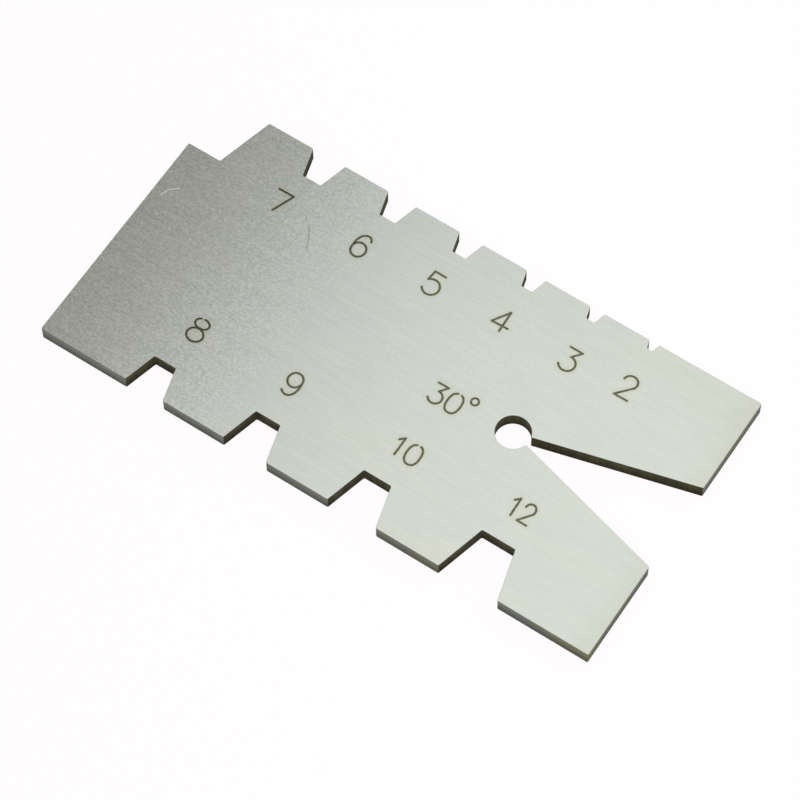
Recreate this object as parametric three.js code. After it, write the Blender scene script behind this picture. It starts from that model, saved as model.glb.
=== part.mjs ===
// A flat template for 30 degree trapezoidal thread tools, cut from one plate of ground steel.
// Millimetres, +Z up. The origin is under the middle of the plate, and the marked face looks up.
import * as THREE from 'three';

// The blank.
const length = 70;
const width = 35;
const thickness = 2;
const edgeBreak = 0.08; // the small chamfer that takes the burr off every edge

// The thread form. Every flank leans by half of the thread's included angle.
const threadAngle = THREE.MathUtils.degToRad(30);
const flankSlope = Math.tan(threadAngle / 2);
const depthPerPitch = 0.5;
const tipPerPitch = 0.345;

// The pitches in mm, from the plain end towards the end with the angle opening.
const upperPitches = [7, 6, 5, 4, 3, 2];
const lowerPitches = [8, 9, 10, 12];

// The lands between the notches. The lower edge shares out what its two end lands leave.
const lowerEndLand = 11.2;
const firstUpperLand = 5.9;
const upperLand = 5.72;

// The corner step at the plain end has one sloping flank, like half of a wide notch.
const stepDepth = 7;
const stepMouth = 6.07;

// The angle opening, with a round relief at its apex.
const openingDepth = 20.43;
const reliefRadius = 2;
const reliefSegments = 48;

const notchTip = (pitch) => tipPerPitch * pitch;
const notchDepth = (pitch) => depthPerPitch * pitch;
const notchMouth = (pitch) => notchTip(pitch) + 2 * notchDepth(pitch) * flankSlope;

const totalMouth = (pitches) => pitches.reduce((sum, pitch) => sum + notchMouth(pitch), 0);
const lowerLand = (length - 2 * lowerEndLand - totalMouth(lowerPitches)) / (lowerPitches.length - 1);

// Where each notch starts, counted from the plain end. firstLand lies before the first of them.
function notchStarts(pitches, start, firstLand, land) {
  const starts = [];
  let x = start + firstLand;
  for (const pitch of pitches) {
    starts.push({ pitch, x });
    x += notchMouth(pitch) + land;
  }
  return starts;
}

// The lower edge runs from the plain end to the other, with its notches cut upwards.
function lowerEdge(outline) {
  outline.moveTo(0, 0);
  for (const { pitch, x } of notchStarts(lowerPitches, 0, lowerEndLand, lowerLand)) {
    const depth = notchDepth(pitch);
    const lean = depth * flankSlope;
    outline.lineTo(x, 0);
    outline.lineTo(x + lean, depth);
    outline.lineTo(x + lean + notchTip(pitch), depth);
    outline.lineTo(x + notchMouth(pitch), 0);
  }
  outline.lineTo(length, 0);
}

// The opening's flanks point at the relief's centre, so each meets the round at half the angle.
function openingEnd(outline) {
  const apex = length - openingDepth;
  const middle = width / 2;
  const halfMouth = openingDepth * flankSlope;
  outline.lineTo(length, middle - halfMouth);
  outline.absarc(apex, middle, reliefRadius, -threadAngle / 2, threadAngle / 2 - 2 * Math.PI, true);
  outline.lineTo(length, middle + halfMouth);
  outline.lineTo(length, width);
}

// The upper edge runs back to the plain end, with its notches cut downwards.
function upperEdge(outline) {
  const starts = notchStarts(upperPitches, stepMouth, firstUpperLand, upperLand);
  for (const { pitch, x } of starts.reverse()) {
    const depth = notchDepth(pitch);
    const lean = depth * flankSlope;
    outline.lineTo(x + notchMouth(pitch), width);
    outline.lineTo(x + lean + notchTip(pitch), width - depth);
    outline.lineTo(x + lean, width - depth);
    outline.lineTo(x, width);
  }
}

function cornerStep(outline) {
  outline.lineTo(stepMouth, width);
  outline.lineTo(stepMouth - stepDepth * flankSlope, width - stepDepth);
  outline.lineTo(0, width - stepDepth);
}

function plateOutline() {
  const outline = new THREE.Shape();
  lowerEdge(outline);
  openingEnd(outline);
  upperEdge(outline);
  cornerStep(outline);
  outline.closePath();
  return outline;
}

function gaugePlate() {
  const geometry = new THREE.ExtrudeGeometry(plateOutline(), {
    depth: thickness - 2 * edgeBreak,
    bevelEnabled: true,
    bevelThickness: edgeBreak,
    bevelSize: edgeBreak,
    bevelOffset: -edgeBreak,
    bevelSegments: 1,
    curveSegments: reliefSegments,
  });
  geometry.translate(-length / 2, -width / 2, edgeBreak);
  const groundSteel = new THREE.MeshStandardMaterial({
    color: 0xc6cac6,
    roughness: 0.4,
    metalness: 1,
  });
  const plate = new THREE.Mesh(geometry, groundSteel);
  plate.name = 'gauge_plate';
  return plate;
}

const threadGauge = new THREE.Group();
threadGauge.add(gaugePlate());

export default threadGauge;
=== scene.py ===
import math

import bmesh
import bpy
from mathutils import Matrix, Vector
from mathutils.kdtree import KDTree


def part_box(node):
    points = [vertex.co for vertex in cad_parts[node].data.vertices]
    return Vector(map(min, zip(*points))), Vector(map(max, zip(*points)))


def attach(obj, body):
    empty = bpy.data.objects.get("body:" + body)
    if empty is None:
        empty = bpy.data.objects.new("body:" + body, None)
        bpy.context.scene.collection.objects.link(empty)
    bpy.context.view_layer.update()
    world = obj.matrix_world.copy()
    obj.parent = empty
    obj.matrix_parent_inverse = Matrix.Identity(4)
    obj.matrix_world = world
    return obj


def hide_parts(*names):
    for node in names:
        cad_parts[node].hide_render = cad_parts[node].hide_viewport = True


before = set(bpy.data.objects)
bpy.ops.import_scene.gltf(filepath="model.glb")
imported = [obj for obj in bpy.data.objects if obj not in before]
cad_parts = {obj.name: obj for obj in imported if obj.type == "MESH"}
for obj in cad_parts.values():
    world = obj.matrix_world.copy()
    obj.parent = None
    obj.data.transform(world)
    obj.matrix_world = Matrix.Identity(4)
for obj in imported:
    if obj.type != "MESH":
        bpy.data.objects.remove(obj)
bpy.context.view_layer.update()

# The plate: one piece of ground stainless sheet. Its outline is cut through in one pass, the burr is
# stoned off every edge, and the corners keep the small round that the cutting beam leaves. It is
# drawn in millimetres, and brought to metres when it is finished.
mm = 0.001
plate_low, plate_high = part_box("gauge_plate")
bottom, top = plate_low.z / mm, plate_high.z / mm
corner_round = 0.13
edge_round = 0.03
round_steps = 3
FACE_FINISH, EDGE_FINISH, CUT_FINISH = range(3)

plate = bmesh.new()
plate.from_mesh(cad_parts["gauge_plate"].data)
bmesh.ops.scale(plate, vec=(1 / mm,) * 3, verts=plate.verts)
bmesh.ops.remove_doubles(plate, verts=plate.verts, dist=0.001)
bmesh.ops.bisect_plane(
    plate,
    geom=[*plate.verts, *plate.edges, *plate.faces],
    plane_co=(0, 0, (bottom + top) / 2),
    plane_no=(0, 0, 1),
    clear_inner=True,
    clear_outer=True,
)
bmesh.ops.dissolve_limit(plate, angle_limit=math.radians(2), verts=plate.verts, edges=plate.edges)
bmesh.ops.contextual_create(plate, geom=plate.edges[:])
for corner in plate.verts:
    corner.co.z = bottom
for corner in bmesh.ops.extrude_face_region(plate, geom=plate.faces[:])["geom"]:
    if isinstance(corner, bmesh.types.BMVert):
        corner.co.z = top
bmesh.ops.recalc_face_normals(plate, faces=plate.faces)


def bevel(edges, size):
    return bmesh.ops.bevel(
        plate,
        geom=edges,
        offset=size,
        offset_type="OFFSET",
        affect="EDGES",
        segments=round_steps,
        profile=0.5,
        material=-1,
        clamp_overlap=True,
    )["faces"]


def is_upright(edge):
    return abs(edge.verts[0].co.z - edge.verts[1].co.z) > (top - bottom) / 4


def is_level(face):
    return abs(face.normal.z) > 0.99


corners = [e for e in plate.edges if is_upright(e) and e.calc_face_angle() > math.radians(10)]
bevel(corners, corner_round)
rims = [e for e in plate.edges if sum(is_level(face) for face in e.link_faces) == 1]
rim_faces = set(bevel(rims, edge_round))

# The long edges and the ends were ground to size before the notches, the step and the opening were
# cut. The narrow walls are parts of a round corner or of the relief hole.
narrow_wall = 0.3
on_border = 0.05
ends = (plate_low.x / mm, plate_high.x / mm)
sides = (plate_low.y / mm, plate_high.y / mm)
for face in plate.faces:
    middle = face.calc_center_median()
    insets = [abs(middle.x - end) for end in ends] + [abs(middle.y - side) for side in sides]
    if is_level(face) or face in rim_faces:
        face.material_index = FACE_FINISH
    else:
        wall_width = max(edge.calc_length() for edge in face.edges if not is_upright(edge))
        face.material_index = EDGE_FINISH if min(insets) < on_border else CUT_FINISH
        face.smooth = wall_width < narrow_wall
for edge in plate.edges:
    edge.smooth = not any(face in rim_faces or is_level(face) for face in edge.link_faces)


# The figures: each notch's pitch in millimetres and the opening's angle, drawn by a laser in single
# strokes. The beam burns a shallow dark groove, tints the steel beside it, and skips where it starts.
groove_width = 0.25
groove_depth = 0.015
beam_step = 0.02
FAR = 9.0  # stands for the beam's distance wherever no figure is near


def arc(centre, radii, start, end, square=2.0):
    """Points every 6 degrees round an ellipse. A square above 2 fills its corners."""
    steps = max(4, round(abs(end - start) / 6))
    points = []
    for step in range(steps + 1):
        angle = math.radians(start + (end - start) * step / steps)
        x, y = math.cos(angle), math.sin(angle)
        points.append(
            (
                centre[0] + radii[0] * math.copysign(abs(x) ** (2 / square), x),
                centre[1] + radii[1] * math.copysign(abs(y) ** (2 / square), y),
            )
        )
    return points


def curve(*through, steps=8):
    """A smooth line through the given points."""
    points = [Vector(p) for p in (through[0], *through, through[-1])]
    line = []
    for before, start, end, after in zip(points, points[1:], points[2:], points[3:]):
        for step in range(steps):
            t = step / steps
            line.append(
                start
                + t * (end - before) / 2
                + t**2 * (before - 2.5 * start + 2 * end - after / 2)
                + t**3 * (1.5 * (start - end) + (after - before) / 2)
            )
    return [*line, points[-1]]


# Strokes in millimetres from the middle of a figure 2.9 mm tall.
figures = {
    "0": [arc((0, 0), (0.96, 1.45), 103, 439, square=2.4)],
    "1": [[(-0.62, 0.75), (0, 1.32), (0, -1.3)]],
    "2": [[*arc((0.0, 0.66), (0.86, 0.8), 175, -28), (-0.87, -1.44), (0.87, -1.44)]],
    "3": [[(-0.8, 1.43), (0.75, 1.43), (-0.08, 0.38), *arc((-0.05, -0.52), (0.95, 0.91), 88, -150)]],
    "4": [[(0.34, -1.35), (0.34, 1.35), (-1.05, -0.62), (1.05, -0.62)]],
    "5": [[(0.68, 1.46), (-0.7, 1.46), (-0.82, 0.24), *arc((-0.03, -0.43), (0.99, 0.99), 138, -148)]],
    "6": [
        curve(
            (0.76, 1.0), (0.5, 1.38), (0.02, 1.48), (-0.5, 1.2),
            (-0.78, 0.7), (-0.9, 0.1), (-0.9, -0.3),
        ),
        arc((0, -0.51), (0.9, 0.91), 158, -185),
    ],
    "7": [[(-1.0, 1.3), (0.99, 1.3), (-0.12, -1.36)]],
    "8": [arc((0, 0.86), (0.86, 0.61), 121, 453), arc((0.03, -0.65), (0.97, 0.84), 90, 450)],
    "9": [
        arc((-0.04, 0.55), (0.87, 0.9), 0, 360),
        curve(
            (0.83, 0.55), (0.88, 0.0), (0.76, -0.7), (0.46, -1.22),
            (0.0, -1.45), (-0.45, -1.36), (-0.75, -1.16),
        ),
    ],
    "degree": [arc((0, 0), (0.5, 0.5), 60, 400)],
}


def place(strokes, x, y, lean=0.0, wide=1.0, tall=1.0):
    """The figure's strokes on the plate, with its middle at x and y."""
    turn = Matrix.Rotation(math.radians(lean), 2)
    middle = Vector((x, y))
    return [[middle + turn @ Vector((p[0] * wide, p[1] * tall)) for p in stroke] for stroke in strokes]


# The marks of more than one figure are written smaller.
small = {"wide": 0.85, "tall": 0.866}
narrow = {"wide": 0.69, "tall": 0.855}
marks = [
    place(figures["7"], -22.3, 9.87, lean=0.5, wide=0.965),
    place(figures["6"], -11.71, 10.04, lean=0.7, wide=0.96),
    place(figures["5"], -2.46, 10.41, lean=-1),
    place(figures["4"], 6.29, 10.76, lean=2, wide=0.96, tall=0.98),
    place(figures["3"], 14.98, 10.67, lean=-0.6),
    place(figures["2"], 21.9, 11.28, lean=0.5, wide=0.95),
    place(figures["8"], -20.67, -8.34, lean=0.5),
    place(figures["9"], -8.34, -8.16, lean=1.4, wide=0.98),
    place(figures["1"], 5.4, -8.05, **small) + place(figures["0"], 7.16, -8.14, lean=1.5, **small),
    place(figures["1"], 19.56, -7.31, lean=1.6, **small) + place(figures["2"], 21.06, -7.33, **narrow),
    place(figures["3"], 5.32, -0.6, **small)
    + place(figures["0"], 7.4, -0.6, **small)
    + place(figures["degree"], 9.18, 0.8, **small),
]

beam_distance = plate.verts.layers.float.new("beam_distance")
for corner in plate.verts:
    corner[beam_distance] = FAR


def marked_panel(inside):
    """The marked side's face round one point."""
    upper = (face for face in plate.faces if is_level(face) and face.normal.z > 0)
    return next(face for face in upper if bmesh.geometry.intersect_face_point(face, inside))


def cut_panel(inside, border, across):
    """Cuts the marked side's face round one point along a line."""
    panel = marked_panel(inside)
    around = [panel, *panel.edges, *panel.verts]
    bmesh.ops.bisect_plane(plate, geom=around, plane_co=border, plane_no=across)


def fine_patch(strokes, margin, cell):
    """Gives the marked side a fine grid round these strokes. Returns each point's distance to them."""
    beam = []
    for stroke in strokes:
        for start, end in zip(stroke, stroke[1:]):
            steps = max(1, round((end - start).length / beam_step))
            beam += [start.lerp(end, step / steps).to_3d() for step in range(steps + 1)]
    nearest = KDTree(len(beam))
    for number, point in enumerate(beam):
        nearest.insert(point, number)
    nearest.balance()
    low = Vector((min(p.x for p in beam) - margin, min(p.y for p in beam) - margin, top))
    high = Vector((max(p.x for p in beam) + margin, max(p.y for p in beam) + margin, top))
    size = high - low
    middle = (low + high) / 2
    edging = Vector((cell, cell, 0))
    for across in ((1, 0, 0), (0, 1, 0)):
        for border in (low - edging, high + edging):
            cut_panel(middle, border, across)
    bmesh.ops.delete(plate, geom=[marked_panel(middle)], context="FACES_ONLY")
    patch = bmesh.ops.create_grid(
        plate,
        x_segments=round(size.x / cell),
        y_segments=round(size.y / cell),
        size=0.5,
        matrix=Matrix.Translation(middle) @ Matrix.Diagonal((size.x, size.y, 1, 1)),
    )["verts"]
    for point in patch:
        for face in point.link_faces:
            face.smooth = True
    bmesh.ops.triangle_fill(
        plate,
        edges=[e for e in plate.edges if e.is_boundary],
        use_beauty=True,
        use_dissolve=False,
        normal=(0, 0, 1),
    )
    return [(point, nearest.find((point.co.x, point.co.y, 0))[2]) for point in patch]


# The rows are parted first, so that no figure's borders run through another row.
for row_border in (-4, 5.8):
    cut_panel(Vector((0, row_border + 1, top)), (0, row_border, top), (0, 1, 0))
for strokes in marks:
    for point, distance in fine_patch(strokes, margin=0.8, cell=0.06):
        point[beam_distance] = distance
        point.co.z -= groove_depth * max(0, 1 - (distance / (groove_width / 2)) ** 2)


# The wear: a scrape and a nick near the plain end, and a broken hairline beside the first figure. They
# are too shallow to show as grooves, so they only change how bright the steel is: the scrape and the
# nick get a painted glint, and the hairline is painted darker.
scratch_glint = plate.verts.layers.float.new("scratch_glint")
bright_scrape = [
    [Vector((-33.75, 3.37)), Vector((-33.44, 4.31)), Vector((-32.56, 5.14))],
    [Vector((-32.83, 1.16)), Vector((-32.79, 1.08))],
]
dark_hairline = [
    [Vector((-18.85, 9.9)), Vector((-18.5, 9.4))],
    curve((-17.97, 9.21), (-17.38, 8.3), (-16.94, 7.5), (-16.57, 6.55)),
]
scratch_reach = 0.09
for strokes, glint in ((bright_scrape, 0.75), (dark_hairline, -0.4)):
    for point, distance in fine_patch(strokes, margin=0.15, cell=0.04):
        point[beam_distance] = FAR
        point[scratch_glint] = glint * max(0, 1 - (distance / scratch_reach) ** 2)
bmesh.ops.dissolve_degenerate(plate, dist=0.002, edges=plate.edges)
bmesh.ops.recalc_face_normals(plate, faces=plate.faces)
bmesh.ops.scale(plate, vec=(mm,) * 3, verts=plate.verts)

plate_mesh = bpy.data.meshes.new("ground_gauge_plate")
plate.to_mesh(plate_mesh)
plate.free()
gauge = bpy.data.objects.new("ground_gauge_plate", plate_mesh)
bpy.context.scene.collection.objects.link(gauge)
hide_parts("gauge_plate")
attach(gauge, "root")


# The finishes: fine straight grinding lines along the face, duller ground edges, and the brown skin
# that the cutting beam leaves on the walls of the notches and the opening.
class Shade:
    """A node's output in a material. Sums and products of shades add Math nodes."""

    def __init__(self, tree, socket=None):
        self.tree = tree
        self.socket = socket

    def node(self, kind, settings=None, inputs=None, output=0):
        """A new node of this kind, with its settings and with values or shades for its inputs."""
        made = self.tree.nodes.new("ShaderNode" + kind)
        for name, setting in (settings or {}).items():
            setattr(made, name, setting)
        for name, given in (inputs or {}).items():
            if isinstance(given, Shade):
                self.tree.links.new(given.socket, made.inputs[name])
            else:
                made.inputs[name].default_value = given
        return Shade(self.tree, made.outputs[output]) if made.outputs else None

    def __add__(self, other):
        return self.node("Math", {"operation": "ADD"}, {0: self, 1: other})

    def __mul__(self, other):
        return self.node("Math", {"operation": "MULTIPLY"}, {0: self, 1: other})

    __radd__ = __add__
    __rmul__ = __mul__

    def noise(self, grains, detail=2.0, rough=0.5):
        """Noise between 0 and 1 with this many grains per metre along each axis of the plate."""
        place = self.node("TexCoord", output=3)
        spread = self.node("Mapping", inputs={"Vector": place, "Scale": grains})
        inputs = {"Vector": spread, "Scale": 1.0, "Detail": detail, "Roughness": rough}
        return self.node("TexNoise", inputs=inputs)

    def fade(self, start, end, low=0.0, high=1.0):
        """Runs smoothly from low to high as this value goes from start to end."""
        settings = {"interpolation_type": "SMOOTHSTEP"}
        return self.node("MapRange", settings, {0: self, 1: start, 2: end, 3: low, 4: high})

    def brighten(self, factor):
        """This colour made brighter or darker by a factor."""
        return self.node("VectorMath", {"operation": "SCALE"}, {0: self, "Scale": factor})

    def tint(self, first, second):
        """Blends two colours by this value, from the first at 0 to the second at 1."""
        first = first if isinstance(first, Shade) else (*first, 1)
        second = second if isinstance(second, Shade) else (*second, 1)
        return self.node("Mix", {"data_type": "RGBA"}, {0: self, 6: first, 7: second}, output=2)


def finish(name, colour, roughness, height, strength, depth):
    """One finish of the steel. Its colour, roughness and height are functions of a Shade."""
    material = bpy.data.materials.new(name)
    material.use_nodes = True
    tree = material.node_tree
    tree.nodes.clear()
    shade = Shade(tree)
    relief = {"Strength": strength, "Distance": depth, "Height": height(shade)}
    steel = {
        "Base Color": colour(shade),
        "Roughness": roughness(shade),
        "Metallic": 1.0,
        "Normal": shade.node("Bump", inputs=relief),
    }
    surface = shade.node("BsdfPrincipled", inputs=steel)
    shade.node("OutputMaterial", inputs={"Surface": surface})
    plate_mesh.materials.append(material)


def along(shade, axis):
    """How far along one axis of the plate, in metres."""
    place = shade.node("TexCoord", output=3)
    return shade.node("SeparateXYZ", inputs={0: place}, output="XYZ".index(axis))


def painted(shade, layer):
    """The value that a layer of the mesh holds at each point."""
    return shade.node("Attribute", {"attribute_name": layer}, output=2)


def grinding_lines(shade):
    """Fine scores about 1.3 mm long and 0.08 mm apart, bundled in broader and longer bands."""
    fine = shade.noise((800, 12000, 12000), detail=3.0)
    coarse = shade.noise((90, 2600, 2600), detail=2.0)
    return fine * 0.6 + coarse * 0.4


def face_relief(shade):
    """The scores and the grain, which are worn away towards the angle opening."""
    grain = shade.noise((4500, 7500, 7500), detail=2.0, rough=0.7)
    depth = along(shade, "X").fade(-0.03, 0.01, 1.0, 0.2)
    return (grinding_lines(shade) * 0.2 + grain * 0.4) * depth


def face_colour(shade):
    """Greyer steel at the plain end, darker and yellower steel at the other end and along the back
    edge of that half, scratches with a painted glint, and burnt grooves.
    """
    plain_end = along(shade, "X").fade(-0.035, -0.012).tint((0.605, 0.622, 0.57), (0.60, 0.632, 0.60))
    steel = along(shade, "X").fade(-0.01, 0.035).tint(plain_end, (0.617, 0.648, 0.598))
    stain = shade.noise((120, 330, 330), detail=3.0).fade(0.45, 0.7, 0.0, 0.25)
    handled_side = along(shade, "Y").fade(-0.015, 0.004, 2.4, 0.6)
    steel = (stain * handled_side).tint(steel, (0.64, 0.65, 0.57))
    # Darker, yellower steel at the other end and along the back edge of that half.
    darker_end = along(shade, "X").fade(0.031, 0.037, 0.0, 0.9)
    darker_side = along(shade, "Y").fade(0.006, 0.018, 0.0, 0.45) * along(shade, "X").fade(-0.012, 0.005)
    steel = (darker_end + darker_side).tint(steel, (0.575, 0.588, 0.525))
    lines = grinding_lines(shade).fade(0.3, 0.7, 0.975, 1.005)
    worn = along(shade, "X").fade(-0.02, -0.006, 1.0, 0.0)
    mottle = shade.noise((2600, 4600, 4600), detail=2.0, rough=0.7).fade(0.36, 0.64, -0.12, 0.12)
    # The scratches: the painted glint of the scrape and the nick, and the darker hairline.
    scratch = painted(shade, "scratch_glint")
    bands = shade.noise((200, 1500, 1500), detail=2.0).fade(0.35, 0.65, -0.014, 0.014)
    steel = steel.brighten(lines + bands + mottle * worn + scratch)
    reach = painted(shade, "beam_distance") + shade.noise((9000, 9000, 9000)) * 0.05
    heat = reach.fade(0.1, 0.75, 0.45, 0.0)
    tinted = heat.tint(steel, (0.55, 0.55, 0.42))
    burnt = reach.fade(0.10, 0.20, 1.0, 0.0)
    patchy = shade.noise((5000, 5000, 5000)).fade(0.35, 0.65)
    soot = patchy.tint((0.065, 0.068, 0.042), (0.13, 0.135, 0.088))
    lighter = along(shade, "X").fade(-0.024, 0.001, 0.95, 1.8)
    return burnt.tint(tinted, soot.brighten(lighter))


def face_roughness(shade):
    lines = grinding_lines(shade).fade(0.3, 0.7, 0.225, 0.305)
    distance = painted(shade, "beam_distance")
    return lines + distance.fade(0.10, 0.17, 0.3, 0.0)


finish("ground_steel_face", face_colour, face_roughness, face_relief, strength=0.22, depth=0.004 * mm)


def edge_colour(shade):
    """Dull steel, made darker towards its foot by painted shade near the floor, with olive stains on
    the half with the angle opening.
    """
    lines = shade.noise((500, 500, 9000), detail=2.0).fade(0.3, 0.7, -0.12, 0.12)
    # Painted shade: the wall grows darker towards its foot, where it stands on the floor.
    height = along(shade, "Z").fade(0.0, plate_high.z, 0.39, 0.87)
    stained_end = along(shade, "X").fade(-0.01, 0.02)
    stain = shade.noise((160, 160, 300), detail=2.0).fade(0.42, 0.58) * stained_end
    return stain.tint((0.56, 0.565, 0.53), (0.58, 0.58, 0.38)).brighten(height + lines)


def edge_roughness(shade):
    return shade.noise((500, 500, 9000)).fade(0.3, 0.7, 0.38, 0.5)


def edge_relief(shade):
    return shade.noise((500, 500, 14000), detail=3.0)


finish("ground_steel_edge", edge_colour, edge_roughness, edge_relief, strength=0.3, depth=0.006 * mm)


def cut_colour(shade):
    """Brown to olive oxide, made darker towards its foot by painted shade near the floor."""
    # Painted shade: the oxide grows darker towards the wall's foot, where it stands on the floor.
    height = along(shade, "Z").fade(0.0, plate_high.z, 0.36, 1.0)
    skin = shade.noise((500, 500, 900), detail=3.0).fade(0.35, 0.65)
    return skin.tint((0.145, 0.12, 0.065), (0.20, 0.185, 0.085)).brighten(height)


def cut_roughness(shade):
    return shade.noise((3000, 3000, 400)).fade(0.3, 0.7, 0.45, 0.65)


def cut_relief(shade):
    return shade.noise((6000, 6000, 300), detail=2.0)


finish("cut_wall_skin", cut_colour, cut_roughness, cut_relief, strength=0.5, depth=0.01 * mm)


# The studio: a pale sheet under the plate, one broad soft light above its far right side, and dim
# walls all round, which only the steel's reflections see.
sheet_reach = 1.5
sheet = bmesh.new()
bmesh.ops.create_grid(sheet, x_segments=1, y_segments=1, size=sheet_reach)
sheet_mesh = bpy.data.meshes.new("pale_sheet")
sheet.to_mesh(sheet_mesh)
sheet.free()
floor = bpy.data.objects.new("pale_sheet", sheet_mesh)
floor.location.z = plate_low.z
floor.visible_glossy = False
floor.visible_diffuse = False
bpy.context.scene.collection.objects.link(floor)
paper = bpy.data.materials.new("pale_paper")
paper.use_nodes = True
paper_surface = paper.node_tree.nodes["Principled BSDF"]
paper_surface.inputs["Base Color"].default_value = (0.06, 0.06, 0.06, 1)
paper_surface.inputs["Roughness"].default_value = 1.0
paper_surface.inputs["Specular IOR Level"].default_value = 0.0
paper_surface.inputs["Emission Color"].default_value = (0.96, 0.94, 0.95, 1)
paper_surface.inputs["Emission Strength"].default_value = 1.0
sheet_mesh.materials.append(paper)

softbox = bpy.data.lights.new("softbox", "AREA")
softbox.shape = "RECTANGLE"
softbox.size = 0.36
softbox.size_y = 0.5
softbox.energy = 0.46
softbox.color = (1.0, 1.0, 0.985)
softbox_object = bpy.data.objects.new("softbox", softbox)
softbox_object.location = (0.093, 0.09, 0.2)
softbox_object.rotation_euler.z = math.radians(-4)
softbox_object.visible_camera = False
bpy.context.scene.collection.objects.link(softbox_object)

world = bpy.data.worlds.new("studio_walls")
world.use_nodes = True
bpy.context.scene.world = world
walls = Shade(world.node_tree)
world.node_tree.nodes.clear()
seen = walls.node("Background", inputs={"Color": (0.98, 0.965, 0.975, 1), "Strength": 1.0})
reflected = walls.node("Background", inputs={"Color": (0.335, 0.335, 0.325, 1), "Strength": 1.0})
by_camera = walls.node("LightPath", output=0)
room = walls.node("MixShader", inputs={0: by_camera, 1: reflected, 2: seen})
walls.node("OutputWorld", inputs={"Surface": room})

# The camera looks down on the marked face from the front and the right.
camera = bpy.data.cameras.new("camera")
camera.sensor_width = 36
camera.lens = 166.27
azimuth, elevation, roll = math.radians(33.906), math.radians(62.83), math.radians(-0.527)
aim = Vector((2.34 * mm, -3.43 * mm, plate_high.z))
distance = 396.4 * mm
level = math.cos(elevation)
back = Vector((math.sin(azimuth) * level, -math.cos(azimuth) * level, math.sin(elevation)))
camera_object = bpy.data.objects.new("camera", camera)
bpy.context.scene.collection.objects.link(camera_object)
turn = (-back).to_track_quat("-Z", "Y").to_matrix().to_4x4() @ Matrix.Rotation(roll, 4, "Z")
camera_object.matrix_world = Matrix.Translation(aim + back * distance) @ turn
bpy.context.scene.camera = camera_object
bpy.context.scene.view_settings.view_transform = "Standard"
